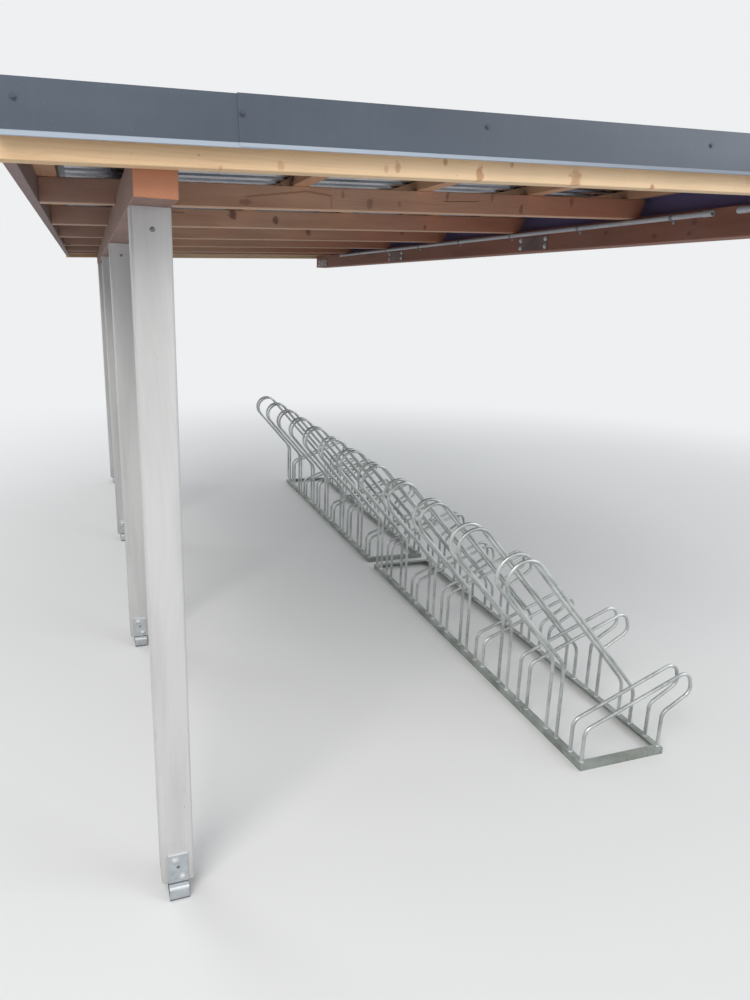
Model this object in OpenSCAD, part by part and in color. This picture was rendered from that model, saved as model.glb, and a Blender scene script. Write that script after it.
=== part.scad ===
// Lean-to bike shelter: posts and beam on the open side, ledger on the house wall.
// Millimetres, +Z up, +X towards the wall, +Y away from the entrance.
// The origin is the middle of the ledger's back face, which is bolted to the wall.

/* [Shelter] */
// length of the roof, from the front timber's face to the rear timber's face
roof_length = 6090; // [4800:10:9000]
// from the middle of the posts to the wall
post_to_wall = 2200; // [1800:10:2900]
// from the ground to the underside of the beam
clear_height = 2060; // [1700:10:2600]
// how much the roof rises in each metre towards the wall
roof_fall = 43; // [20:1:80]
// how far the roof reaches past the middle of the posts
eave_reach = 320; // [250:5:600]

/* [Posts] */
// side of a post
post_size = 100; // [80:1:160]
// from the front timber's face to the first post's face
front_overhang = 220; // [100:5:600]
// from the last post's face to the rear timber's face
rear_overhang = 250; // [100:5:600]
// width of the eased edges
post_easing = 6; // [2:1:12]
// gap between the ground and the post's end grain
post_lift = 53; // [40:1:120]

/* [Post feet] */
// width of the steel foot
foot_width = 60; // [50:1:70]
// height of the cheeks above the post's end grain
cheek_height = 105; // [80:1:200]
// thickness of the cheeks and of the saddle
cheek_thickness = 5; // [3:0.5:8]
// how far the tube stub stands out in front of the cheek
stub_reach = 16; // [0:1:40]
// wall of the tube stub
stub_wall = 4; // [2:0.5:5]
// radius of the stub's rounded edges
stub_rounding = 6; // [5.5:0.5:12]
// radius of the bolt holes
foot_hole_radius = 5.5; // [3:0.5:7]

/* [Beam and ledger] */
// width of the beam on the posts
beam_width = 100; // [80:1:160]
// height of the beam on the posts
beam_height = 100; // [90:1:140]
// from the underside of the beam up to the underside of the rafters
rafter_step = 77; // [60:1:85]
// depth of the ledger, from the wall to its face
ledger_depth = 100; // [80:1:130]
// height of the ledger
ledger_height = 110; // [90:1:200]
// depth of the seat cut over the ledger
ledger_seat = 5; // [3:1:20]

/* [Rafters] */
// from the front timber's face to the first rafter's face
first_rafter = 1040; // [400:10:1500]
// from the fifth rafter's face to the rear timber's face
rear_bay = 1078; // [850:1:1400]
// from the fifth rafter's face to the sixth rafter's face
rear_rafter = 510; // [200:10:650]
// width of a rafter
rafter_width = 60; // [40:1:100]
// height of a rafter
rafter_height = 80; // [60:1:160]
// how far a rafter's lower corner reaches onto the ledger
rafter_bearing = 20; // [10:1:25]
// how much further the upper corner of the slanted end reaches
rafter_slant = 27; // [0:1:35]

/* [Edge timbers] */
// thickness of the front and rear timbers
edge_width = 50; // [30:1:80]
// how far the edge timbers reach below the rafters
edge_drop = 24; // [0:1:30]
// thickness of the boards behind the flashings
fascia_width = 18; // [12:1:30]
// height of the boards behind the flashings
fascia_height = 92; // [60:1:130]
// thickness of the eave board
eave_width = 30; // [18:1:60]
// thickness of the board that closes the roof space at the wall
closer_width = 18; // [12:1:20]

/* [Battens and sheet] */
// width of a batten
batten_width = 62; // [40:1:80]
// height of a batten
batten_height = 35; // [24:1:60]
// from the eave batten's edge to the next batten's edge
first_batten_step = 364; // [150:1:500]
// from the wall to the far edge of the last batten
last_batten = 150; // [130:1:300]
// thickness of the metal sheet and flashings as modelled
sheet_thickness = 1.5; // [1:0.1:3]
// distance between two ribs of the sheet
rib_pitch = 126; // [100:1:250]
// height of the ribs
rib_height = 18; // [10:1:45]
// width of a rib on top
rib_crown = 40; // [15:1:60]
// width of a rib's sloping side
rib_flank = 14; // [6:1:18]
// how far the sheet hangs over the eave board
sheet_overhang = 25; // [10:1:60]

/* [Flashings] */
// height of the front flashing without its drip lip
flashing_height = 101; // [70:1:140]
// how far the drip lip reaches out and down
drip_lip = 10; // [6:1:20]
// width of the flashing on top of the sheet
flashing_top = 150; // [80:5:250]
// length of the first piece of the front flashing, from the eave
flashing_first = 555; // [300:5:1500]
// overlap of the two pieces
flashing_lap = 60; // [30:5:120]
// height of the eave flashing's skirt without its drip lip
eave_skirt = 70; // [40:1:100]
// width of the wall flashing on top of the sheet
wall_flashing_width = 140; // [80:5:250]
// height of the wall flashing's upstand
wall_upstand = 90; // [50:5:200]
// gap between the end of the edge flashings and the wall
wall_gap = 4; // [3:1:20]

/* [Wall plates] */
// number of steel plates on the ledger
plate_count = 3; // [2:1:5]
// length of a steel plate
plate_length = 280; // [120:5:320]
// thickness of a steel plate
plate_thickness = 3; // [2:0.5:6]
// from the ledger's lower edge to the plate
plate_rise = 8; // [2:1:30]
// from the ledger's upper edge down to the plate
plate_drop = 36; // [34:1:50]
// from the roof's front to the middle of the first plate
plate_first = 1855; // [1750:5:1880]
// from the middle of the last plate to the roof's rear
plate_rear = 290; // [270:5:600]

/* [Conduit] */
// outer diameter of the conduit
conduit_diameter = 20; // [16:1:25]
// wall of the conduit
conduit_wall = 1.5; // [1:0.5:3]
// wall of the sleeves at the gap
sleeve_wall = 2; // [1:0.5:4]
// length of the sleeves at the gap
sleeve_length = 45; // [20:1:80]
// from the roof's front to the gap in the conduit
conduit_first = 450; // [430:5:600]
// length of the gap
conduit_gap = 126; // [112:1:160]
// from the conduit's far end to the roof's rear
conduit_rear = 900; // [60:5:1500]
// distance between two clips
clip_pitch = 640; // [640:5:720]
// width of a clip
clip_width = 16; // [10:1:20]

/* [Bike rack] */
// low and middle pairs of hoops in one rack, each with a high pair beside it
rack_pairs = 6; // [2:1:8]
// distance from a low pair to the next middle pair
pair_pitch = 430; // [400:5:520]
// from a low pair to the high pair beside it
high_step = 185; // [150:5:240]
// width of the angle rails
rail_width = 30; // [25:1:50]
// thickness of the angle rails
rail_thickness = 3; // [2:0.5:6]
// from the front rail's middle to the rear rail's middle
rail_spread = 390; // [320:5:500]
// from the rear rail's outer edge to the wall
rack_to_wall = 150; // [145:5:400]
// from the roof's front to the first rack
rack_first = 375; // [100:5:1200]

/* [Hoops] */
// diameter of the hoop tube
hoop_tube = 16; // [12:1:20]
// distance between the two hoops of a pair
hoop_gap = 80; // [60:1:100]
// radius of the bends of low and middle hoops
hoop_bend = 45; // [35:1:50]
// height at which a low hoop bends towards the wall
low_bend = 176; // [130:1:220]
// height of a low hoop's nose
low_nose = 375; // [330:1:450]
// how far a low hoop's nose reaches past the rear rail
low_reach = 115; // [90:1:118]
// height at which a low hoop comes back to its rear leg
low_back = 188; // [150:1:220]
// how much higher a middle hoop stands
middle_rise = 88; // [60:1:120]
// radius of a high hoop's bends
high_radius = 100; // [60:5:110]
// height at which a high hoop's front leg bends away from the wall
high_bend = 380; // [330:1:430]
// height at which a high hoop's rear leg bends away from the wall
high_back = 200; // [170:1:230]
// slope of a high hoop in degrees
high_angle = 49.5; // [44:0.5:54]
// from the front bend to the nose's corner
high_run = 540; // [420:5:600]

/* [Hidden] */
$fn = 48;

// as many posts, rafters and battens as the names above
post_count = 4;
main_rafters = 5;
batten_count = 6;

slope = roof_fall / 1000;
angle = atan(slope);
front = -roof_length / 2;
rear = roof_length / 2;
post_x = -post_to_wall;
post_y0 = front + front_overhang + post_size / 2;
post_pitch = (roof_length - front_overhang - rear_overhang - post_size) / (post_count - 1);
face_x = -ledger_depth;
// heights above the ground
rafter_z = clear_height + rafter_step;
beam_top = clear_height + beam_height;
ledger_top = rafter_z + slope * (face_x - post_x) + ledger_seat;
ground = -(ledger_top - ledger_height / 2);
// outer faces
eave_x = post_x - eave_reach;
eave_inner = eave_x + eave_width;
beam_front = front + edge_width;
beam_rear = rear - edge_width;
rafter_pitch = (roof_length - first_rafter - rear_bay) / (main_rafters - 1);
second_batten = eave_inner + first_batten_step;
batten_pitch = (-last_batten - second_batten) / (batten_count - 2);
// from the rafters' top to the ribs' top, square to the roof
roof_build = batten_height + rib_height + sheet_thickness;
plate_pitch = (roof_length - plate_first - plate_rear) / (plate_count - 1);
clearance = 0.3;

// height of the rafters' underside, of their top, of the battens' top
function under(x) = rafter_z + slope * (x - post_x);
function crown(x) = under(x) + rafter_height;
function deck(x) = crown(x) + batten_height;
// height of a surface that lies lift above the rafters, square to the roof
function over(x, lift) = crown(x) + lift / cos(angle);
// y of a rafter's front face, counted from 1
function rafter_y(n) = n <= main_rafters
  ? front + first_rafter + (n - 1) * rafter_pitch
  : rear - rear_bay + (n - main_rafters) * rear_rafter;

// a shape drawn in X and Z, carried along Y from y0 to y1, heights from the ground
module along(y0, y1) {
  translate([0, y1, ground]) rotate([90, 0, 0]) linear_extrude(height = y1 - y0) children();
}

// a square with eased corners
module eased_square(side, cut) {
  h = side / 2;
  polygon([
    [-h + cut, -h], [h - cut, -h], [h, -h + cut], [h, h - cut],
    [h - cut, h], [-h + cut, h], [-h, h - cut], [-h, -h + cut]
  ]);
}

// puts something at the foot of a post, counted from 1
module at_post(n) {
  translate([post_x, post_y0 + (n - 1) * post_pitch, ground]) children();
}

module post(n) {
  color([0.78, 0.78, 0.78])
  at_post(n) translate([0, 0, post_lift])
    linear_extrude(height = clear_height - post_lift) eased_square(post_size, post_easing);
}

// an upright rounded rectangle, from -reach to reach and from low to high
module rounded_box(reach, low, high, r) {
  translate([-reach + r, low]) square([2 * (reach - r), high - low]);
  translate([-reach, low + r]) square([2 * reach, high - low - 2 * r]);
  for (y = [-reach + r, reach - r])
    for (z = [low + r, high - r])
      translate([y, z]) circle(r = r);
}

// Rounded tube stub on the ground, saddle plate and two cheeks with bolt holes.
module foot(n) {
  w = foot_width;
  reach = post_size / 2 + cheek_thickness;
  stub = reach + stub_reach;
  stub_top = post_lift - cheek_thickness;
  // upper bolt, empty hole, lower bolt
  holes = [[-9, 0.8], [0, 0.545], [12, 0.2]];
  color([0.6, 0.62, 0.63])
  at_post(n) difference() {
    union() {
      // the stub is a rectangular tube that lies from left to right
      translate([-w / 2, 0, 0]) rotate([90, 0, 90]) linear_extrude(height = w) difference() {
        rounded_box(stub, 0, stub_top, stub_rounding);
        rounded_box(stub - stub_wall, stub_wall, stub_top - stub_wall, stub_rounding - stub_wall);
      }
      translate([-w / 2, -reach, stub_top]) cube([w, 2 * reach, cheek_thickness]);
      for (y = [-reach, post_size / 2])
        translate([-w / 2, y, stub_top]) cube([w, cheek_thickness, cheek_height + cheek_thickness]);
    }
    for (hole = holes)
      translate([hole[0], 0, post_lift + hole[1] * cheek_height])
        rotate([90, 0, 0]) cylinder(h = 4 * post_size, r = foot_hole_radius, center = true);
  }
}

module beam() {
  color([0.72, 0.47, 0.3])
  along(beam_front, beam_rear) translate([post_x - beam_width / 2, clear_height])
    square([beam_width, beam_height]);
}

// The birdsmouth rafter: notched over the beam, seated on the ledger, slanted at the wall.
module rafter(n) {
  y = rafter_y(n);
  left = post_x - beam_width / 2;
  right = post_x + beam_width / 2;
  lower = face_x + rafter_bearing;
  upper = lower + rafter_slant;
  color([0.7, 0.5, 0.36])
  along(y, y + rafter_width) polygon([
    [eave_inner, under(eave_inner)],
    [left, under(left)],
    [left, beam_top],
    [right, beam_top],
    [right, under(right)],
    [face_x, under(face_x)],
    [face_x, ledger_top],
    [lower, ledger_top],
    [upper, crown(upper)],
    [eave_inner, crown(eave_inner)]
  ]);
}

// the edge timber stands in front of the ends of the beam, the ledger and the eave board
module edge_timber(y) {
  color([0.85, 0.68, 0.48])
  along(y, y + edge_width) polygon([
    [eave_x, under(eave_x) - edge_drop], [0, under(0) - edge_drop],
    [0, crown(0)], [eave_x, crown(eave_x)]
  ]);
}

// the eave board lies between the edge timbers and is notched over their ends
module eave_board() {
  top = deck(eave_x) - sheet_thickness;
  left = eave_x - 1;
  right = eave_inner + 1;
  color([0.66, 0.48, 0.36]) difference() {
    along(front, rear) polygon([
      [eave_x, under(eave_x)], [eave_inner, under(eave_x)],
      [eave_inner, top + slope * eave_width], [eave_x, top]
    ]);
    for (y = [front - 1, rear - edge_width])
      along(y, y + edge_width + 1) polygon([
        [left, under(eave_x) - 1], [right, under(eave_x) - 1], [right, crown(right)], [left, crown(left)]
      ]);
  }
}

// the first batten is planed down by the thickness of the eave flashing
module batten(n) {
  x0 = n == 1 ? eave_inner : second_batten + (n - 2) * batten_pitch;
  x1 = x0 + batten_width;
  low = n == 1 ? sheet_thickness : 0;
  color([0.68, 0.5, 0.36])
  along(front, rear) polygon([
    [x0, crown(x0)], [x1, crown(x1)], [x1, deck(x1) - low], [x0, deck(x0) - low]
  ]);
}

// one rib after another, drawn in Y and Z
function rib_line(y0, count, lift) = [
  for (i = [0 : count - 1]) let (y = y0 + i * rib_pitch)
    each [
      [y, lift], [y + rib_pitch - rib_crown - 2 * rib_flank, lift],
      [y + rib_pitch - rib_crown - rib_flank, lift + rib_height],
      [y + rib_pitch - rib_flank, lift + rib_height]
    ],
  [y0 + count * rib_pitch, lift]
];
function reversed(list) = [for (i = [len(list) - 1 : -1 : 0]) list[i]];

// The ribbed sheet: its ribs run down the slope, from the wall to the eave.
module roof_sheet() {
  count = floor((roof_length - 10) / rib_pitch);
  y0 = -count * rib_pitch / 2;
  x0 = eave_x - sheet_overhang;
  length = (-3 * wall_gap - x0) / cos(angle);
  color([0.55, 0.58, 0.6])
  translate([x0, 0, ground + deck(x0)]) rotate([0, -angle, 0]) rotate([90, 0, 90])
    linear_extrude(height = length)
      polygon(concat(rib_line(y0, count, 0), reversed(rib_line(y0, count, sheet_thickness))));
}

// boards that close the batten ends behind the flashings
module end_board(y) {
  color([0.74, 0.56, 0.4])
  along(y, y + fascia_width) polygon([
    [eave_x, crown(eave_x) + roof_build - fascia_height],
    [0, crown(0) + roof_build - fascia_height],
    [0, crown(0) + roof_build], [eave_x, crown(eave_x) + roof_build]
  ]);
}

// An angle of sheet metal over the roof's edge: side -1 is the front, 1 is the rear.
module edge_flashing(x0, x1, side, out) {
  t = sheet_thickness;
  edge = side * (roof_length / 2 + fascia_width + out);
  inner = edge - side * flashing_top;
  outer = edge + side * t;
  top = roof_build + out;
  low = top + t - flashing_height;
  color([0.36, 0.41, 0.46])
  translate([x0, 0, ground + crown(x0)]) rotate([0, -angle, 0]) rotate([90, 0, 90])
    linear_extrude(height = (x1 - x0) / cos(angle)) polygon([
      [inner, top], [edge, top], [edge, low],
      [edge + side * drip_lip, low - drip_lip], [outer + side * drip_lip, low - drip_lip + t],
      [outer, low + t], [outer, top + t], [inner, top + t]
    ]);
}

// The eave flashing lies under the sheet. Its skirt, with a drip edge, covers the corners too.
module eave_flashing() {
  t = sheet_thickness;
  inner = eave_inner + batten_width + 22;
  top = deck(eave_x) - t;
  low = top + t - eave_skirt;
  color([0.36, 0.41, 0.46]) union() {
    along(front, rear) polygon([
      [eave_x - t, top - t * slope], [inner, deck(inner) - t],
      [inner, deck(inner)], [eave_x - t, deck(eave_x - t)]
    ]);
    along(front - fascia_width, rear + fascia_width) polygon([
      [eave_x, top], [eave_x, low], [eave_x - drip_lip, low - drip_lip],
      [eave_x - drip_lip - t, low - drip_lip + t], [eave_x - t, low + t],
      [eave_x - t, top]
    ]);
  }
}

// the wall flashing lies on the edge flashings
module wall_flashing() {
  t = sheet_thickness;
  low = roof_build + 2 * t;
  x0 = -wall_flashing_width;
  color([0.36, 0.41, 0.46])
  along(front - fascia_width, rear + fascia_width) polygon([
    [x0, over(x0, low)], [0, over(0, low)], [0, over(0, low) + wall_upstand],
    [-t, over(0, low) + wall_upstand], [-t, over(-t, low + t)], [x0, over(x0, low + t)]
  ]);
}

// the dark board that closes the roof space on the ledger, against the wall
module wall_closer() {
  color([0.16, 0.15, 0.22])
  along(beam_front, beam_rear) translate([-closer_width, ledger_top])
    square([closer_width, deck(-closer_width) - ledger_top]);
}

module ledger() {
  color([0.62, 0.42, 0.3])
  along(beam_front, beam_rear)
    translate([face_x, ledger_top - ledger_height]) square([ledger_depth, ledger_height]);
}

// plates that tie the ledger's lengths together, with two bolt holes at each end
module wall_plates() {
  height = ledger_height - plate_rise - plate_drop;
  edge = 18;
  rim = 14;
  color([0.5, 0.5, 0.53])
  for (n = [0 : plate_count - 1])
    translate([
      face_x - plate_thickness, front + plate_first + n * plate_pitch - plate_length / 2,
      ground + ledger_top - ledger_height + plate_rise
    ]) difference() {
      cube([plate_thickness, plate_length, height]);
      for (y = [edge, plate_length - edge])
        for (z = [rim, height - rim])
          translate([-1, y, z]) rotate([0, 90, 0]) cylinder(h = plate_thickness + 2, r = 5);
    }
}

// the sleeves hold the conduit off the ledger
conduit_off = conduit_diameter / 2 + sleeve_wall + clearance;
conduit_x = face_x - conduit_off;
conduit_z = ledger_top - ledger_seat - conduit_diameter / 2 - 5;
gap_start = front + conduit_first;
gap_end = gap_start + conduit_gap;
conduit_end = rear - conduit_rear;
// the clips' places keep clear of the plates
first_clip = gap_end + 220;
clips = [
  beam_front + 90, gap_start - sleeve_length - 60,
  for (y = [first_clip : clip_pitch : conduit_end - clip_width / 2]) y
];

// a cylinder that lies along Y
module lying(y0, y1, r) {
  translate([0, y1, 0]) rotate([90, 0, 0]) cylinder(h = y1 - y0, r = r);
}

module conduit_run(y0, y1, sleeve_y) {
  r = conduit_diameter / 2;
  translate([conduit_x, 0, ground + conduit_z]) difference() {
    union() {
      lying(y0, y1, r);
      lying(sleeve_y, sleeve_y + sleeve_length, r + sleeve_wall);
    }
    lying(y0 - 1, y1 + 1, r - conduit_wall);
  }
}

// grey conduit in two lengths, open at the gap, where the wires to a lamp come out
module conduit() {
  color([0.6, 0.61, 0.63]) {
    conduit_run(beam_front + 10, gap_start, gap_start - sleeve_length);
    conduit_run(gap_end, conduit_end, gap_end);
  }
}

// a strap round the conduit with one foot below, screwed to the ledger
module conduit_clips() {
  t = 2;
  foot = 14;
  r = conduit_diameter / 2 + clearance;
  color([0.5, 0.51, 0.53])
  for (y = clips)
    translate([conduit_x, y + clip_width / 2, ground + conduit_z]) rotate([90, 0, 0])
      linear_extrude(height = clip_width) {
        difference() {
          union() {
            circle(r = r + t);
            translate([0, -r - t]) square([conduit_off, 2 * (r + t)]);
          }
          circle(r = r);
          translate([0, -r]) square([conduit_off + t, 2 * r]);
          translate([conduit_off, -2 * r]) square([2 * r, 4 * r]);
        }
        translate([conduit_off - t, -r - t - foot]) square([t, foot + t]);
      }
}

// the pairs run on at the same pitch from rack to rack
rack_step = rack_pairs * pair_pitch;
rack_count = floor((roof_length - rack_first) / rack_step);
rail_margin = 20;
rack_length = (rack_pairs - 1) * pair_pitch + high_step + hoop_gap + 2 * rail_margin;
rail_rear_x = -rack_to_wall - rail_width / 2;
rail_front_x = rail_rear_x - rail_spread;

// A bent tube in the XZ plane: straight runs between the points, elbows of the given radii.
// The elbows are a little thicker than the runs, which reach a little way into them.
swell = 0.25;
reach_in = 2;
function unit(v) = v / norm(v);
function turn(a, b, c) = let (u = unit(b - a), w = unit(c - b)) atan2(u[0] * w[1] - u[1] * w[0], u * w);
function back(a, b, c, bend) = abs(bend * tan(turn(a, b, c) / 2));

module straight_tube(a, b, d) {
  v = b - a;
  translate([a[0], 0, a[1]]) rotate([0, atan2(v[0], v[1]), 0]) cylinder(h = norm(v), d = d);
}

module elbow(a, b, c, bend, d) {
  t = turn(a, b, c);
  u = unit(b - a);
  start = b - back(a, b, c, bend) * u;
  // the bend's centre lies to the left of the run for a positive turn
  side = t > 0 ? 1 : -1;
  centre = start + bend * side * [-u[1], u[0]];
  from = atan2(start[1] - centre[1], start[0] - centre[0]);
  translate([centre[0], 0, centre[1]]) rotate([90, 0, 0])
    rotate([0, 0, side > 0 ? from : from + t])
      rotate_extrude(angle = abs(t)) translate([bend, 0]) circle(d = d + 2 * swell);
}

// bends holds one radius for each point between the first and the last
module bent_tube(points, bends, d) {
  last = len(points) - 1;
  for (i = [0 : last - 1]) {
    a = points[i];
    b = points[i + 1];
    u = unit(b - a);
    from = i == 0 ? a : a + (back(points[i - 1], a, b, bends[i - 1]) - reach_in) * u;
    to = i == last - 1 ? b : b - (back(a, b, points[i + 2], bends[i]) - reach_in) * u;
    straight_tube(from, to, d);
  }
  for (i = [1 : last - 1]) elbow(points[i - 1], points[i], points[i + 1], bends[i - 1], d);
}

// Low and middle hoops lean towards the wall, their noses past the rear rail.
function wall_points(rise) = [
  [0, rail_width], [0, low_bend + rise], [rail_spread + low_reach, low_nose + rise],
  [rail_spread + low_reach + 25, low_nose - 105 + rise], [rail_spread, low_back + rise],
  [rail_spread, rail_width]
];
wall_bends = [hoop_bend, hoop_bend, hoop_bend, hoop_bend];

// High hoops lean away from the wall: two parallel sides and a half-round nose.
high_up = [-cos(high_angle), sin(high_angle)];
high_across = [sin(high_angle), cos(high_angle)];
high_width = ([rail_spread, high_back] - [0, high_bend]) * high_across;
high_tip = [0, high_bend] + high_run * high_up;
high_points = [
  [0, rail_width], [0, high_bend], high_tip, high_tip + high_width * high_across,
  [rail_spread, high_back], [rail_spread, rail_width]
];
nose_radius = high_width / 2 - 2;
high_bends = [high_radius, nose_radius, nose_radius, high_radius];

// pairs of hoops in each rack: from the pair with this number, every so many pairs
module hoops(first, every, offset, points, bends) {
  color([0.68, 0.7, 0.71])
  for (k = [0 : rack_count - 1])
    for (i = [first : every : rack_pairs - 1])
      for (side = [0, 1])
        translate([
          rail_front_x, front + rack_first + k * rack_step + rail_margin
            + i * pair_pitch + offset + side * hoop_gap, ground
        ]) bent_tube(points, bends, hoop_tube);
}

// two angle rails joined by angles at both ends, flat side up
module rack_rails() {
  w = rail_width;
  t = rail_thickness;
  width = rail_spread + w;
  color([0.62, 0.64, 0.65])
  for (k = [0 : rack_count - 1])
    translate([rail_front_x - w / 2, front + rack_first + k * rack_step, ground]) difference() {
      cube([width, rack_length, w]);
      translate([w, w, -1]) cube([width - 2 * w, rack_length - 2 * w, w + 2]);
      translate([t, t, -t]) cube([width - 2 * t, rack_length - 2 * t, w]);
    }
}

post(1);  // post_1
post(2);  // post_2
post(3);  // post_3
post(4);  // post_4
foot(1);  // foot_1
foot(2);  // foot_2
foot(3);  // foot_3
foot(4);  // foot_4
beam();
edge_timber(front);  // front_timber
edge_timber(rear - edge_width);  // rear_timber
rafter(1);  // rafter_1
rafter(2);  // rafter_2
rafter(3);  // rafter_3
rafter(4);  // rafter_4
rafter(5);  // rafter_5
rafter(6);  // rafter_6
eave_board();
batten(1);  // batten_1
batten(2);  // batten_2
batten(3);  // batten_3
batten(4);  // batten_4
batten(5);  // batten_5
batten(6);  // batten_6
roof_sheet();
end_board(front - fascia_width);  // front_board
end_board(rear);  // rear_board
edge_flashing(eave_x, eave_x + flashing_first, -1, 0);  // front_flashing_left
edge_flashing(eave_x + flashing_first - flashing_lap, -wall_gap, -1, sheet_thickness);  // front_flashing_right
edge_flashing(eave_x, -wall_gap, 1, 0);  // rear_flashing
eave_flashing();
wall_flashing();
wall_closer();
ledger();
wall_plates();
conduit();
conduit_clips();
rack_rails();
hoops(0, 2, 0, wall_points(0), wall_bends);  // low_hoops
hoops(1, 2, 0, wall_points(middle_rise), wall_bends);  // middle_hoops
hoops(0, 1, high_step, high_points, high_bends);  // high_hoops
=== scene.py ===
"""Looks of a lean-to bike shelter: timber frame, ribbed roof, flashings and a bike rack.

Every size is in metres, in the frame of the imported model: +X from the eave to the ledger,
+Y from the front end to the rear end, +Z up, with the origin on the ledger's back face.
"""

import logging
import math
from collections.abc import Iterable, Sequence
from dataclasses import dataclass
from enum import Enum
from typing import Any

import bmesh
import bpy
from mathutils import Matrix, Vector


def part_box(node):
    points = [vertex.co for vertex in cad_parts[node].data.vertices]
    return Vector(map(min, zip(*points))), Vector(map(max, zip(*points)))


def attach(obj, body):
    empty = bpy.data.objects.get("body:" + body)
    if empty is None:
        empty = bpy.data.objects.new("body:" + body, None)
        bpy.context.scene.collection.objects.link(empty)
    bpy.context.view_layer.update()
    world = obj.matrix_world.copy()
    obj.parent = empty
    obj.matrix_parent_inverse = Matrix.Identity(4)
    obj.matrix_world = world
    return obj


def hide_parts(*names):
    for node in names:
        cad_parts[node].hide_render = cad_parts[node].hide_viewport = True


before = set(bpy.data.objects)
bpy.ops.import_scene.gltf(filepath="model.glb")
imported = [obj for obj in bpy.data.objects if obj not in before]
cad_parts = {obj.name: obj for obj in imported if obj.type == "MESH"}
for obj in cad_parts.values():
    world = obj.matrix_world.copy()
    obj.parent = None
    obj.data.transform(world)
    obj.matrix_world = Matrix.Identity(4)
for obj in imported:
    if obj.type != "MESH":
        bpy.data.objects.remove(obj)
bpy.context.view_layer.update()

log = logging.getLogger("bike_shelter")
RGB = tuple[float, float, float]
Point = tuple[float, float, float]
Socket = bpy.types.NodeSocket


def srgb(red: int, green: int, blue: int) -> RGB:
    """Turns a display colour into the linear colour that shaders use.

    Args:
        red: Red, from 0 to 255.
        green: Green, from 0 to 255.
        blue: Blue, from 0 to 255.

    Returns:
        The linear colour.
    """
    parts = []
    for value in (red, green, blue):
        share = value / 255
        parts.append(share / 12.92 if share <= 0.04045 else ((share + 0.055) / 1.055) ** 2.4)
    return (parts[0], parts[1], parts[2])


def shade(colour: RGB, factor: float) -> RGB:
    """A colour made darker or lighter, with white as the limit."""
    red, green, blue = (min(1.0, part * factor) for part in colour)
    return (red, green, blue)


@dataclass(frozen=True)
class Layout:
    """The sizes that the sub-assemblies share, as the CAD has them."""

    ground: float = -2.1773
    posts: int = 4
    first_post: float = -2.775
    post_pitch: float = 1.84
    post_x: float = -2.2
    slope: float = 0.043
    rafter_under: float = -0.0403
    rafter_height: float = 0.08
    batten_height: float = 0.035
    rib_height: float = 0.018
    sheet: float = 0.0015
    rafters: int = 6
    battens: int = 6
    rack_pairs: int = 6
    racks: int = 2

    def under(self, x: float) -> float:
        """Height of the rafters' underside at x."""
        return self.rafter_under + self.slope * (x - self.post_x)

    def crown(self, x: float) -> float:
        """Height of the rafters' top at x."""
        return self.under(x) + self.rafter_height

    def over(self, x: float, lift: float) -> float:
        """Height at x of a surface that lies lift above the rafters, square to the roof."""
        return self.crown(x) + lift * math.sqrt(1 + self.slope**2)

    def sheet_valley(self, x: float) -> float:
        """Height of the sheet's upper side in a valley between two ribs."""
        return self.over(x, self.batten_height + self.sheet)

    def flashing_top(self, x: float, layers: int) -> float:
        """Height of the upper side of flashings that lie one on the other on the ribs."""
        return self.over(x, self.batten_height + self.rib_height + (1 + layers) * self.sheet)

    def along_roof(self, run: float) -> Point:
        """A step up the roof's slope, as long as run when seen from above."""
        return (run, 0.0, run * self.slope)

    def post_y(self, number: int) -> float:
        """Middle of a post, counted from 0."""
        return self.first_post + self.post_pitch * number


LAYOUT = Layout()
UP = (0.0, 0.0, 0.0)
TO_FRONT = (math.pi / 2, 0.0, 0.0)
TO_REAR = (-math.pi / 2, 0.0, 0.0)
TO_EAVE = (0.0, -math.pi / 2, 0.0)
OFF_ROOF = (0.0, -math.atan(LAYOUT.slope), 0.0)


class Grain(Enum):
    """The direction in which a timber's fibres run, as the number of its axis."""

    ALONG_X = 0
    ALONG_Y = 1


class Head(Enum):
    """The kinds of fixing, each with its number of sides."""

    HEX = 6
    DOME = 16
    BEAD = 14


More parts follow.
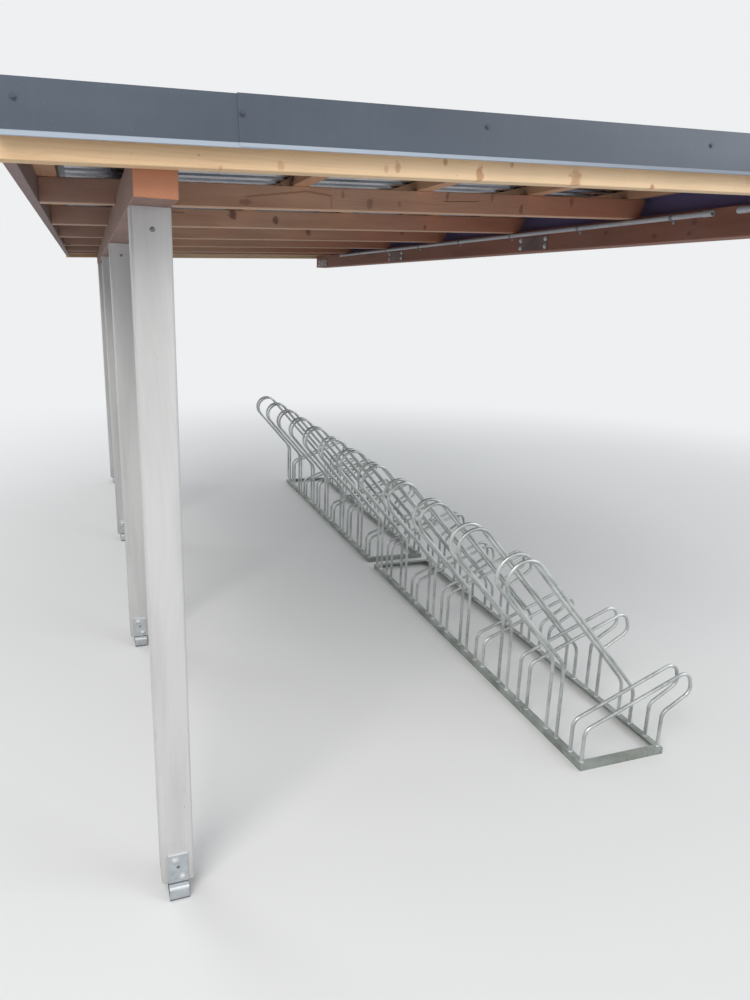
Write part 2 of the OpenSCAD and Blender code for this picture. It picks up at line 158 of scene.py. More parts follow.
class Graph:
    """Short calls for building a node tree."""

    def __init__(self, tree: bpy.types.NodeTree) -> None:
        """Keeps the tree that the calls add to."""
        self.tree = tree

    def feed(self, socket: Socket, value: Any) -> None:
        """Links a socket to an input, or writes a value into it.

        Args:
            socket: The input.
            value: A socket to link, or a plain value.
        """
        if isinstance(value, bpy.types.NodeSocket):
            self.tree.links.new(value, socket)
        elif socket.type == "RGBA" and len(value) == 3:
            socket.default_value = (*value, 1.0)
        else:
            socket.default_value = value

    def add(self, kind: str, inputs: dict[Any, Any] | None = None, **props: Any) -> bpy.types.Node:
        """Adds a node.

        Args:
            kind: Blender's name of the node.
            inputs: Values or sockets by input name or number.
            **props: The node's own settings.

        Returns:
            The new node.
        """
        node = self.tree.nodes.new(kind)
        for name, value in props.items():
            setattr(node, name, value)
        for key, value in (inputs or {}).items():
            self.feed(node.inputs[key], value)
        return node

    def math(self, operation: str, first: Any, second: Any = 0.0) -> Socket:
        """A Math node's result."""
        return self.add("ShaderNodeMath", {0: first, 1: second}, operation=operation).outputs[0]

    def plus(self, first: Any, second: Any) -> Socket:
        """The sum of two numbers."""
        return self.math("ADD", first, second)

    def minus(self, first: Any, second: Any) -> Socket:
        """The first number less the second."""
        return self.math("SUBTRACT", first, second)

    def times(self, first: Any, second: Any) -> Socket:
        """The product of two numbers."""
        return self.math("MULTIPLY", first, second)

    def away(self, value: Any, middle: Any) -> Socket:
        """How far a number is from a middle value, always 0 or more."""
        return self.math("ABSOLUTE", self.minus(value, middle))

    def vector(self, operation: str, first: Any, second: Any = (0, 0, 0)) -> Socket:
        """A Vector Math node's result: a number for LENGTH, otherwise a vector."""
        node = self.add("ShaderNodeVectorMath", {0: first, 1: second}, operation=operation)
        return node.outputs["Value" if operation == "LENGTH" else "Vector"]

    def scaled(self, vector: Socket, factors: Point) -> Socket:
        """A vector with each of its parts times its own factor."""
        return self.vector("MULTIPLY", vector, factors)

    def split(self, vector: Socket) -> tuple[Socket, Socket, Socket]:
        """The three parts of a vector."""
        node = self.add("ShaderNodeSeparateXYZ", {0: vector})
        return (node.outputs[0], node.outputs[1], node.outputs[2])

    def join(self, x: Any, y: Any, z: Any) -> Socket:
        """A vector from its three parts."""
        return self.add("ShaderNodeCombineXYZ", {0: x, 1: y, 2: z}).outputs[0]

    def step(self, value: Any, low: float, high: float) -> Socket:
        """Rises smoothly from 0 at low to 1 at high, or falls if low is above high."""
        inputs = {"Value": value, "From Min": low, "From Max": high}
        return self.add("ShaderNodeMapRange", inputs, interpolation_type="SMOOTHSTEP").outputs["Result"]

    def mix(self, share: Any, first: Any, second: Any) -> Socket:
        """Two colours mixed: share 0 is the first."""
        return self.add("ShaderNodeMix", {0: share, 6: first, 7: second}, data_type="RGBA").outputs[2]

    def tint(self, colour: Any, mask: Any, share: Any, tone: Any) -> Socket:
        """A colour with a share of another tone where the mask is 1."""
        return self.mix(self.times(mask, share), colour, tone)

    def noise(self, vector: Socket, scale: float, detail: float = 2.0) -> Socket:
        """Smooth noise from 0 to 1."""
        inputs = {"Vector": vector, "Scale": scale, "Detail": detail}
        return self.add("ShaderNodeTexNoise", inputs).outputs[0]

    def group(self, tree: bpy.types.NodeTree, **inputs: Any) -> bpy.types.Node:
        """Places a node group.

        Args:
            tree: The group.
            **inputs: Its inputs by name, with _ for a blank.

        Returns:
            The group's node.
        """
        node = self.add("ShaderNodeGroup")
        node.node_tree = tree
        for name, value in inputs.items():
            self.feed(node.inputs[name.replace("_", " ")], value)
        return node

    def close(self, result: bpy.types.Node, **values: Socket) -> bpy.types.NodeTree:
        """Links a group's outputs, which ends it.

        Args:
            result: The group's output node.
            **values: The outputs by name.

        Returns:
            The finished group.
        """
        for name, value in values.items():
            self.feed(result.inputs[name], value)
        return self.tree


def new_group(
    name: str, inputs: Sequence[tuple[str, str, Any]], outputs: Sequence[str]
) -> tuple[Graph, bpy.types.Node, bpy.types.Node]:
    """Starts a shader node group.

    Args:
        name: The group's name.
        inputs: Name, kind of socket and value of each input.
        outputs: Names of the outputs, which are all numbers.

    Returns:
        The group's graph, its input node and its output node.
    """
    tree = bpy.data.node_groups.new(name, "ShaderNodeTree")
    for title, kind, value in inputs:
        socket = tree.interface.new_socket(title, in_out="INPUT", socket_type=kind)
        if value is not None:
            socket.default_value = value
    for title in outputs:
        tree.interface.new_socket(title, in_out="OUTPUT", socket_type="NodeSocketFloat")
    graph = Graph(tree)
    return graph, graph.add("NodeGroupInput"), graph.add("NodeGroupOutput")


class Effects:
    """The shader node groups that several finishes share."""

    def __init__(self) -> None:
        """Builds each group once."""
        self.grain = self._grain()
        self.zinc = self._zinc()
        self.grime = self._grime()

    @staticmethod
    def _grain() -> bpy.types.NodeTree:
        """Sawn timber with year rings, fibres and knots; the fibres run along X.

        Returns:
            The node group.
        """
        graph, source, result = new_group(
            "timber_grain",
            (
                ("Vector", "NodeSocketVector", None),
                ("Ring Width", "NodeSocketFloat", 0.006),
                ("Knot Share", "NodeSocketFloat", 0.3),
            ),
            ("Rings", "Fibre", "Knot", "Halo", "Tone", "Height"),
        )
        log_shift, log_fold = 0.2, 0.35
        pith_across, pith_down = 0.055, 0.09
        along, across, height = graph.split(source.outputs["Vector"])
        across = graph.math("PINGPONG", graph.plus(across, log_shift), log_fold)
        height = graph.math("PINGPONG", graph.plus(height, log_shift), log_fold)
        log_place = graph.join(along, across, height)
        warp = graph.minus(graph.noise(graph.scaled(log_place, (0.9, 5.0, 5.0)), 1.0, 3.0), 0.5)
        cells = graph.scaled(log_place, (4.5, 10.0, 10.0))
        knots = graph.add("ShaderNodeTexVoronoi", {"Vector": cells, "Scale": 1.0, "Randomness": 1.0})
        chance = graph.split(knots.outputs["Color"])[0]
        rare = graph.minus(1.0, source.outputs["Knot Share"])
        present = graph.math("GREATER_THAN", chance, rare)
        distance = knots.outputs["Distance"]
        halo = graph.times(graph.step(distance, 0.42, 0.05), present)
        knot = graph.times(graph.step(distance, 0.13, 0.08), present)
        pith_y = graph.plus(graph.plus(across, pith_across), graph.times(warp, 0.11))
        pith_z = graph.plus(graph.plus(height, pith_down), graph.times(warp, 0.06))
        radius = graph.vector("LENGTH", graph.join(pith_y, pith_z, graph.times(along, 0.004)))
        turns = graph.math("DIVIDE", radius, source.outputs["Ring Width"])
        turns = graph.plus(turns, graph.times(halo, 2.2))
        phase = graph.math("FRACT", turns)
        late = graph.times(graph.math("POWER", phase, 2.4), graph.step(phase, 1.0, 0.9))
        fibre = graph.noise(graph.scaled(log_place, (9.0, 330.0, 330.0)), 1.0, 4.0)
        tone = graph.noise(graph.scaled(log_place, (1.6, 12.0, 12.0)), 1.0, 3.0)
        relief = graph.plus(graph.times(fibre, 0.7), graph.times(late, 0.3))
        return graph.close(result, Rings=late, Fibre=fibre, Knot=knot, Halo=halo, Tone=tone, Height=relief)

    @staticmethod
    def _zinc() -> bpy.types.NodeTree:
        """Hot-dip zinc: crystals, cloudy dull patches and small runs.

        Returns:
            The node group.
        """
        graph, source, result = new_group(
            "zinc_crystals",
            (("Vector", "NodeSocketVector", None), ("Crystal Size", "NodeSocketFloat", 0.012)),
            ("Crystal", "Cloud", "Height"),
        )
        place = source.outputs["Vector"]
        scale = graph.math("DIVIDE", 1.0, source.outputs["Crystal Size"])
        wobble = graph.add("ShaderNodeTexNoise", {"Vector": place, "Scale": 90.0, "Detail": 2.0})
        bent = graph.vector("ADD", place, graph.scaled(wobble.outputs["Color"], (0.008, 0.008, 0.008)))
        cells = graph.add("ShaderNodeTexVoronoi", {"Vector": bent, "Scale": scale, "Randomness": 1.0})
        crystal = graph.split(cells.outputs["Color"])[1]
        cloud = graph.noise(place, 7.0, 5.0)
        grit = graph.noise(place, 420.0, 2.0)
        relief = graph.plus(graph.times(crystal, 0.4), graph.times(grit, 0.6))
        return graph.close(result, Crystal=crystal, Cloud=cloud, Height=relief)

    @staticmethod
    def _grime() -> bpy.types.NodeTree:
        """Weather: cloudy dust, dark specks, runs down the surface and splashed dirt low down.

        Returns:
            The node group.
        """
        graph, source, result = new_group(
            "weather", (("Vector", "NodeSocketVector", None),), ("Dust", "Specks", "Runs", "Splash"))
        place = source.outputs["Vector"]
        dust = graph.step(graph.noise(place, 3.5, 6.0), 0.42, 0.78)
        specks = graph.step(graph.noise(place, 160.0, 2.0), 0.68, 0.76)
        runs = graph.step(graph.noise(graph.scaled(place, (38.0, 38.0, 1.6)), 1.0, 4.0), 0.5, 0.78)
        edge = graph.plus(graph.split(place)[2], graph.times(graph.noise(place, 22.0, 4.0), 0.22))
        splash_top, splash_full = LAYOUT.ground + 0.36, LAYOUT.ground + 0.1
        splash = graph.step(edge, splash_top, splash_full)
        return graph.close(result, Dust=dust, Specks=specks, Runs=runs, Splash=splash)


ROAD_DUST = srgb(148, 142, 132)
GREY_BLOOM = srgb(128, 118, 108)
EAVE_SHADE_TINT = srgb(128, 112, 122)
RUST = srgb(122, 78, 50)
# Where along X the timbers take a painted pinkish grey shade tint towards the eave.
EAVE_TINT_SPAN = (-1.9, -2.5)
# Height of the painted highlight along a rafter's lower edge, from its fading upper limit to where it is
# full.
ARRIS_HIGHLIGHT_BAND = (0.0042, 0.0024)
# A knot fades out over 1 / KNOT_REACH metres into the timber.
KNOT_REACH = 25.0


@dataclass(frozen=True)
class Finish:
    """What every finish has: its name and the record's material slot."""

    name: str
    slot: str

    def start(self) -> tuple[bpy.types.Material, Graph, bpy.types.Node, Socket]:
        """Starts a material.

        Returns:
            The material, its graph, its shader and the object coordinates.
        """
        material = bpy.data.materials.new(self.name)
        material.use_nodes = True
        material.node_tree.nodes.clear()
        graph = Graph(material.node_tree)
        shader = graph.add("ShaderNodeBsdfPrincipled")
        graph.add("ShaderNodeOutputMaterial", {"Surface": shader.outputs[0]})
        return material, graph, shader, graph.add("ShaderNodeTexCoord").outputs["Object"]

    @staticmethod
    def roof_level(graph: Graph, place: Socket) -> Socket:
        """Height above a line that follows the roof's slope and is at 0 over the posts."""
        x, _, z = graph.split(place)
        return graph.minus(z, graph.times(graph.minus(x, LAYOUT.post_x), LAYOUT.slope))

    @staticmethod
    def relief(graph: Graph, shader: bpy.types.Node, height: Socket, depth: float, strength: float) -> None:
        """Gives a shader its bumps.

        Args:
            graph: The material's graph.
            shader: The shader.
            height: Height from 0 to 1.
            depth: Depth of the bumps in metres.
            strength: How strongly they show, from 0 to 1.
        """
        bump = graph.add("ShaderNodeBump", {"Strength": strength, "Distance": depth, "Height": height})
        graph.feed(shader.inputs["Normal"], bump.outputs[0])


@dataclass(frozen=True)
class Knot:
    """A knot at a measured place on a face that looks to the front, or to the eave with along_y."""

    place: Point
    width: float
    height: float
    share: float = 0.7
    along_y: bool = False


@dataclass(frozen=True)
class Crack:
    """A drying crack or dark grain line from one point to another on a face that looks to the front."""

    start: Point
    end: Point
    width: float = 0.001
    share: float = 1.0
    tone: RGB = srgb(40, 24, 16)


@dataclass(frozen=True)
class Timber(Finish):
    """Planed softwood with rings, fibres, knots, a grey bloom and darker end grain.

    The arris highlight is painted light along a rafter's lower edge. The inner colour
    takes over along X, over inner_span; on the rafters it is painted shade, darker and
    redder towards the wall. eave_shade_share is the share of a painted pinkish grey
    shade tint at the eave.
    """

    grain: Grain
    early: RGB
    late: RGB
    end: RGB
    knot: RGB = srgb(92, 50, 28)
    arris_highlight: RGB | None = None
    ring_width: float = 0.007
    ring_share: float = 0.4
    knot_share: float = 0.28
    inner: RGB | None = None
    inner_span: tuple[float, float] = (-1.5, -0.25)
    inner_share: float = 0.6
    eave_shade_share: float = 0.0
    knots: tuple[Knot, ...] = ()
    cracks: tuple[Crack, ...] = ()

    def _turned(self, graph: Graph, place: Socket) -> Socket:
        """Turns the coordinates so that the fibres run along X."""
        x, y, z = graph.split(place)
        return place if self.grain is Grain.ALONG_X else graph.join(y, x, z)

    def _own_knots(self, graph: Graph, place: Socket) -> Socket | float:
        """The knots at measured places.

        Args:
            graph: The material's graph.
            place: The object coordinates.

        Returns:
            A mask that is 1 in the knots.
        """
        mask: Socket | float = 0.0
        ragged = graph.times(graph.minus(graph.noise(place, 75.0, 3.0), 0.5), 1.5)
        for knot in self.knots:
            away = graph.vector("SUBTRACT", place, knot.place)
            wide = 2 / knot.width
            spread = (KNOT_REACH, wide) if knot.along_y else (wide, KNOT_REACH)
            away = graph.scaled(away, (*spread, 2 / knot.height))
            near = graph.step(graph.plus(graph.vector("LENGTH", away), ragged), 1.15, 0.55)
            mask = graph.math("MAXIMUM", mask, graph.times(near, knot.share))
        return mask

    def _cracked(self, graph: Graph, place: Socket, colour: Socket) -> Socket:
        """Draws the drying cracks and dark grain lines.

        Args:
            graph: The material's graph.
            place: The object coordinates.
            colour: The colour under them.

        Returns:
            The colour with the lines on it.
        """
        x, y, z = graph.split(place)
        wander = graph.times(graph.minus(graph.noise(graph.join(x, 0.0, 0.0), 30.0, 3.0), 0.5), 0.008)
        for crack in self.cracks:
            (x0, y0, z0), (x1, _, z1) = crack.start, crack.end
            share = graph.math("DIVIDE", graph.minus(x, x0), x1 - x0)
            line = graph.plus(z0, graph.times(share, z1 - z0))
            thin = graph.step(graph.away(z, graph.plus(line, wander)), crack.width * 1.6, crack.width * 0.4)
            span = graph.times(graph.step(share, 0.0, 0.12), graph.step(share, 1.0, 0.88))
            here = graph.step(graph.away(y, y0), 0.03, 0.02)
            both = graph.times(graph.times(thin, span), here)
            colour = graph.tint(colour, both, crack.share, crack.tone)
        return colour

    def build(self, effects: Effects) -> bpy.types.Material:
        """Builds the material.

        Args:
            effects: The shared node groups.

        Returns:
            The material.
        """
        material, graph, shader, place = self.start()
        grain = graph.group(effects.grain, Vector=self._turned(graph, place),
                            Ring_Width=self.ring_width, Knot_Share=self.knot_share)
        weather = graph.group(effects.grime, Vector=place)
        out = grain.outputs
        rings = graph.times(out["Rings"], self.ring_share)
        colour = graph.mix(rings, self.early, self.late)
        warm = tuple(part * factor for part, factor in zip(self.late, (0.86, 0.74, 0.66)))
        colour = graph.tint(colour, graph.step(out["Tone"], 0.4, 0.75), 0.45, warm)
        colour = graph.tint(colour, graph.step(out["Fibre"], 0.5, 0.8), 0.35, self.late)
        colour = graph.tint(colour, out["Halo"], 0.35, self.late)
        across = graph.split(place)[0]
        # Towards the wall the inner colour takes over; on the rafters this is painted shade.
        if self.inner is not None:
            colour = graph.tint(colour, graph.step(across, *self.inner_span), self.inner_share, self.inner)
        # Painted pinkish grey shade tint towards the eave.
        if self.eave_shade_share:
            colour = graph.tint(colour, graph.step(across, *EAVE_TINT_SPAN), self.eave_shade_share, EAVE_SHADE_TINT)
        knot = out["Knot"]
        if self.knots:
            knot = graph.math("MAXIMUM", knot, self._own_knots(graph, place))
        colour = graph.tint(colour, knot, 0.85, self.knot)
        colour = graph.tint(colour, weather.outputs["Dust"], 0.16, GREY_BLOOM)
        colour = graph.tint(colour, weather.outputs["Specks"], 0.3, self.knot)
        # Painted highlight along the rafter's lower edge.
        if self.arris_highlight is not None:
            above = graph.minus(self.roof_level(graph, place), LAYOUT.rafter_under)
            colour = graph.tint(colour, graph.step(above, *ARRIS_HIGHLIGHT_BAND), 0.4, self.arris_highlight)
        if self.cracks:
            colour = self._cracked(graph, place, colour)
        facing = graph.split(graph.add("ShaderNodeNewGeometry").outputs["True Normal"])
        cut = graph.step(graph.math("ABSOLUTE", facing[self.grain.value]), 0.7, 0.9)
        end = graph.tint(self.end, rings, 0.5, shade(self.end, 0.7))
        colour = graph.tint(colour, cut, 0.85, end)
        graph.feed(shader.inputs["Base Color"], colour)
        rough = graph.plus(0.56, graph.times(out["Fibre"], 0.22))
        graph.feed(shader.inputs["Roughness"], rough)
        self.relief(graph, shader, out["Height"], 0.0009, 0.35)
        return material


@dataclass(frozen=True)
class Paint(Finish):
    """Brushed paint on timber: the grain shows through, with chips and splash dirt."""

    colour: RGB
    dirt: RGB
    bare: RGB

    def build(self, effects: Effects) -> bpy.types.Material:
        """Builds the material.

        Args:
            effects: The shared node groups.

        Returns:
            The material.
        """
        material, graph, shader, place = self.start()
        x, y, z = graph.split(place)
        upright = graph.join(z, x, y)
        grain = graph.group(effects.grain, Vector=upright, Ring_Width=0.009, Knot_Share=0.2)
        out = graph.group(effects.grime, Vector=place).outputs
        cloud = graph.step(grain.outputs["Tone"], 0.35, 0.7)
        colour = graph.mix(cloud, self.colour, shade(self.colour, 0.88))
        colour = graph.tint(colour, grain.outputs["Rings"], 0.05, self.dirt)
        colour = graph.tint(colour, grain.outputs["Knot"], 0.14, self.dirt)
        colour = graph.tint(colour, out["Runs"], 0.1, self.dirt)
        colour = graph.tint(colour, out["Splash"], 0.3, self.dirt)
        colour = graph.tint(colour, out["Specks"], 0.22, self.dirt)
        chip = graph.step(graph.noise(place, 60.0, 5.0), 0.74, 0.76)
        colour = graph.tint(colour, chip, 0.6, self.bare)
        graph.feed(shader.inputs["Base Color"], colour)
        rough = graph.plus(0.5, graph.times(out["Dust"], 0.2))
        graph.feed(shader.inputs["Roughness"], rough)
        brush = graph.noise(graph.scaled(upright, (5.0, 260.0, 260.0)), 1.0, 3.0)
        height = graph.plus(graph.times(brush, 0.6), graph.times(grain.outputs["Height"], 0.4))
        self.relief(graph, shader, height, 0.0005, 0.3)
        return material


@dataclass(frozen=True)
class PaintedLight:
    """A level line on a steel piece: a painted highlight along an edge or painted shade in a joint."""

    height: float
    width: float
    tone: RGB
    share: float = 0.8


@dataclass(frozen=True)
class Zinc(Finish):
    """Galvanised steel: crystals, cloudy dull patches, dust, a little brown bloom and level lines of painted
    light.
    """

    bright: RGB
    dull: RGB
    crystal_size: float = 0.012
    crystal_share: float = 0.35
    dust: float = 0.2
    rust: float = 0.0
    metallic: float = 0.8
    roughness: float = 0.42
    painted_lights: tuple[PaintedLight, ...] = ()

    def build(self, effects: Effects) -> bpy.types.Material:
        """Builds the material.

        Args:
            effects: The shared node groups.

        Returns:
            The material.
        """
        material, graph, shader, place = self.start()
        zinc = graph.group(effects.zinc, Vector=place, Crystal_Size=self.crystal_size)
        weather = graph.group(effects.grime, Vector=place)
        crystal, cloud = zinc.outputs["Crystal"], zinc.outputs["Cloud"]
        colour = graph.mix(graph.step(cloud, 0.35, 0.65), self.bright, self.dull)
        colour = graph.tint(colour, crystal, self.crystal_share, shade(self.bright, 1.22))
        dust = graph.times(weather.outputs["Dust"], self.dust)
        colour = graph.mix(dust, colour, ROAD_DUST)
        colour = graph.tint(colour, weather.outputs["Runs"], self.dust * 0.5, self.dull)
        if self.rust:
            spot = graph.step(graph.noise(place, 34.0, 6.0), 0.62, 0.74)
            colour = graph.tint(colour, spot, self.rust, RUST)
        # Level lines of painted highlight and painted shade.
        z = graph.split(place)[2]
        for painted_light in self.painted_lights:
            off = graph.away(z, LAYOUT.ground + painted_light.height)
            line = graph.step(off, painted_light.width * 0.7, painted_light.width * 0.35)
            colour = graph.tint(colour, line, painted_light.share, painted_light.tone)
        graph.feed(shader.inputs["Base Color"], colour)
        graph.feed(shader.inputs["Metallic"], graph.minus(self.metallic, dust))
        rough = graph.plus(self.roughness, graph.times(cloud, 0.16))
        rough = graph.plus(rough, graph.times(crystal, 0.08))
        graph.feed(shader.inputs["Roughness"], rough)
        self.relief(graph, shader, zinc.outputs["Height"], 0.0004, 0.18)
        return material


@dataclass(frozen=True)
class Coat(Finish):
    """Coated sheet metal: satin, with dust, fine runs and a painted highlight on the drip lip, strongest at
    the eave.
    """

    colour: RGB
    dust: RGB
    lip_sheen: RGB
    lip_height: float
    lip_fade: float = 0.0012
    lip_sheen_span: tuple[float, float] = (-0.4, -1.9)

    def build(self, effects: Effects) -> bpy.types.Material:
        """Builds the material.

        Args:
            effects: The shared node groups.

        Returns:
            The material.
        """
        material, graph, shader, place = self.start()
        out = graph.group(effects.grime, Vector=place).outputs
        wide = graph.noise(graph.scaled(place, (0.8, 0.0, 6.0)), 1.0)
        colour = graph.mix(graph.step(wide, 0.35, 0.65), self.colour, shade(self.colour, 1.25))
        colour = graph.tint(colour, out["Dust"], 0.12, self.dust)
        colour = graph.tint(colour, out["Runs"], 0.04, self.dust)
        colour = graph.tint(colour, out["Specks"], 0.25, self.dust)
        # Painted highlight: the drip lip and the lowest millimetres of the face are lightened, more towards
        # the eave.
        mask = graph.step(self.roof_level(graph, place), self.lip_height, self.lip_height - self.lip_fade)
        sheen_towards_eave = graph.step(graph.split(place)[0], *self.lip_sheen_span)
        sheen_share = graph.plus(graph.times(sheen_towards_eave, 0.4), 0.35)
        colour = graph.tint(colour, mask, sheen_share, self.lip_sheen)
        graph.feed(shader.inputs["Base Color"], colour)
        rough = graph.plus(0.36, graph.times(out["Dust"], 0.25))
        graph.feed(shader.inputs["Roughness"], rough)
        dents = graph.noise(graph.scaled(place, (3.0, 0.0, 5.0)), 1.0)
        height = graph.plus(dents, graph.times(graph.noise(place, 700.0), 0.03))
        self.relief(graph, shader, height, 0.003, 0.25)
        return material


@dataclass(frozen=True)
class Plastic(Finish):
    """Grey plastic, a little chalky, with dust on it."""

    colour: RGB

    def build(self, effects: Effects) -> bpy.types.Material:
        """Builds the material.

        Args:
            effects: The shared node groups.

        Returns:
            The material.
        """
        material, graph, shader, place = self.start()
        out = graph.group(effects.grime, Vector=place).outputs
        colour = graph.mix(graph.noise(place, 9.0, 4.0), self.colour, shade(self.colour, 1.2))
        colour = graph.tint(colour, out["Dust"], 0.25, srgb(134, 128, 118))
        colour = graph.tint(colour, out["Specks"], 0.4, srgb(70, 66, 60))
        graph.feed(shader.inputs["Base Color"], colour)
        graph.feed(shader.inputs["Roughness"], graph.plus(0.42, graph.times(out["Dust"], 0.2)))
        self.relief(graph, shader, graph.noise(place, 500.0, 2.0), 0.0002, 0.2)
        return material


# Faces that the knots and cracks lie on: the front timber and three rafters by y, the ledger by x.
FACE, FIRST, SECOND, THIRD = -3.045, -2.005, -1.012, -0.019
LEDGER_FACE = -0.1
PALE_SPRUCE = Timber(
    "pale_spruce", "edge_wood", Grain.ALONG_X, srgb(229, 195, 153), srgb(206, 160, 113),
    srgb(176, 124, 84), knot=srgb(172, 104, 62), ring_width=0.009, ring_share=0.3, knot_share=0.1,
    inner=srgb(250, 219, 178), inner_span=(-2.15, -1.4),
    knots=(Knot((-1.637, FACE, -0.009), 0.018, 0.03, 0.55), Knot((-1.323, FACE, 0.024), 0.014, 0.018, 0.6),
           Knot((-1.414, FACE, -0.008), 0.022, 0.046, 0.7), Knot((-1.129, FACE, 0.004), 0.036, 0.05, 0.6),
           Knot((-0.878, FACE, 0.005), 0.014, 0.02, 0.8), Knot((-1.51, FACE, 0.013), 0.014, 0.018, 0.7),
           Knot((-1.926, FACE, -0.032), 0.018, 0.024, 0.4), Knot((-2.11, FACE, -0.026), 0.008, 0.008, 0.5),
           Knot((-2.062, FACE, -0.048), 0.01, 0.014, 0.4), Knot((-1.667, FACE, -0.017), 0.014, 0.02, 0.4)),
)
BEAM_SPRUCE = Timber(
    "beam_spruce", "beam_wood", Grain.ALONG_Y, srgb(152, 121, 110), srgb(124, 90, 76),
    srgb(190, 126, 90), ring_width=0.0075, ring_share=0.5,
)
# On the rafters the inner colour is painted shade, darker and redder towards the wall; the arris colour is a
# painted highlight along the lower edge; the eave share is a painted pinkish grey shade tint.
RAFTER_SPRUCE = Timber(
    "rafter_spruce", "rafter_wood", Grain.ALONG_X, srgb(206, 164, 136), srgb(174, 126, 98),
    srgb(166, 116, 84), knot=srgb(96, 50, 42), ring_width=0.0065, ring_share=0.35, knot_share=0.12,
    arris_highlight=srgb(232, 202, 172), inner=srgb(160, 78, 50), eave_shade_share=0.35,
    knots=(Knot((-1.007, FIRST, 0.075), 0.016, 0.04, 0.6), Knot((-0.809, FIRST, 0.086), 0.018, 0.04, 0.55),
           Knot((-0.672, FIRST, 0.049), 0.02, 0.045, 0.6), Knot((-1.212, FIRST, 0.03), 0.016, 0.03, 0.3),
           Knot((-1.805, FIRST, -0.004), 0.05, 0.024, 0.5), Knot((-1.331, FIRST, 0.026), 0.026, 0.04, 0.5),
           Knot((-1.676, SECOND, 0.042), 0.045, 0.05, 0.9), Knot((-1.466, SECOND, 0.029), 0.036, 0.04, 0.85),
           Knot((-0.66, SECOND, 0.047), 0.02, 0.03, 0.6), Knot((-1.024, THIRD, 0.058), 0.04, 0.04, 0.8),
           Knot((-1.44, FIRST, 0.05), 0.014, 0.03, 0.45), Knot((-0.433, FIRST, 0.095), 0.018, 0.04, 0.6),
           Knot((-1.484, FIRST, 0.018), 0.01, 0.05, 0.3), Knot((-0.385, THIRD, 0.092), 0.03, 0.03, 0.6)),
    cracks=(Crack((-1.036, FIRST, 0.053), (-0.856, FIRST, 0.067)),
            Crack((-1.82, FIRST, 0.012), (-1.575, FIRST, 0.05), 0.0032, 0.5, srgb(116, 58, 34)),
            Crack((-1.60, FIRST, 0.051), (-1.475, FIRST, 0.04), 0.0032, 0.5, srgb(116, 58, 34)),
            Crack((-1.965, SECOND, 0.034), (-1.90, SECOND, 0.034), 0.003, 0.5)),
)
EAVE_SPRUCE = Timber(
    "eave_spruce", "rafter_wood", Grain.ALONG_Y, srgb(142, 122, 118), srgb(116, 92, 86),
    srgb(158, 116, 90), ring_width=0.0065,
)
BATTEN_SPRUCE = Timber(
    "batten_spruce", "batten_wood", Grain.ALONG_Y, srgb(206, 160, 124), srgb(174, 124, 90),
    srgb(170, 120, 86), ring_width=0.006,
)
LEDGER_SPRUCE = Timber(
    "ledger_spruce", "ledger_wood", Grain.ALONG_Y, srgb(152, 103, 84), srgb(118, 72, 58),
    srgb(160, 104, 74), knot=srgb(84, 38, 30), ring_width=0.006,
    knots=(Knot((LEDGER_FACE, -1.81, 0.004), 0.03, 0.02, 0.6, along_y=True),
           Knot((LEDGER_FACE, -2.139, -0.028), 0.04, 0.024, 0.6, along_y=True),
           Knot((LEDGER_FACE, -2.347, -0.03), 0.03, 0.02, 0.6, along_y=True),
           Knot((LEDGER_FACE, -2.365, 0.013), 0.034, 0.024, 0.6, along_y=True)),
)
DARK_BOARD = Timber(
    "dark_board", "closer_wood", Grain.ALONG_Y, srgb(120, 110, 158), srgb(92, 84, 128),
    srgb(84, 76, 116), knot=srgb(60, 54, 86), knot_share=0.1,
    inner=srgb(126, 108, 94), inner_span=(-0.014, -0.004), inner_share=1.0,
)
POST_PAINT = Paint("post_paint", "post_paint", srgb(203, 202, 200), srgb(136, 130, 122), srgb(158, 136, 112))
# The foot's level lines are painted light: highlights along the top edge and on the stub's top, painted
# shadow in the joint over the stub and along the ground.
FOOT_ZINC = Zinc("foot_zinc", "foot_steel", srgb(200, 205, 208), srgb(164, 170, 174), 0.014, dust=0.25,
                 rust=0.1, metallic=0.6, roughness=0.38, crystal_share=0.25,
                 painted_lights=(PaintedLight(0.157, 0.004, srgb(238, 241, 243)), PaintedLight(0.045, 0.012, srgb(236, 240, 242), 0.6),
                        PaintedLight(0.0525, 0.006, srgb(58, 60, 62)), PaintedLight(0.001, 0.012, srgb(66, 68, 68))))
SHEET_ZINC = Zinc("sheet_zinc", "sheet_steel", srgb(130, 135, 143), srgb(106, 112, 121), 0.03, dust=0.05,
                  metallic=0.95, roughness=0.12, crystal_share=0.1)
PLATE_ZINC = Zinc("plate_zinc", "plate_steel", srgb(128, 108, 106), srgb(100, 82, 80), 0.01, dust=0.2,
                  metallic=0.5)
RACK_ZINC = Zinc("rack_zinc", "rack_steel", srgb(198, 202, 200), srgb(156, 161, 160), 0.01, dust=0.15,
                 metallic=0.85, roughness=0.26)
RAIL_ZINC = Zinc("rail_zinc", "rack_steel", srgb(160, 166, 162), srgb(122, 128, 122), 0.012, dust=0.45,
                 metallic=0.6, roughness=0.5)
FIXING_ZINC = Zinc("fixing_zinc", "plate_steel", srgb(214, 216, 218), srgb(176, 178, 180), 0.006, dust=0.1,
                   metallic=0.6)
# Painted shade: a darker copy of the fixing zinc for the screws that sit in recesses, where they look dark.
SHADED_SCREW_ZINC = Zinc("shaded_screw_zinc", "plate_steel", srgb(146, 148, 151), srgb(110, 112, 115), 0.006, dust=0.1,
                  metallic=0.6)
SCREW_COAT = Zinc("screw_coat", "flashing_coat", srgb(84, 90, 100), srgb(62, 68, 78), 0.006, dust=0.1,
                  metallic=0.5, roughness=0.35)
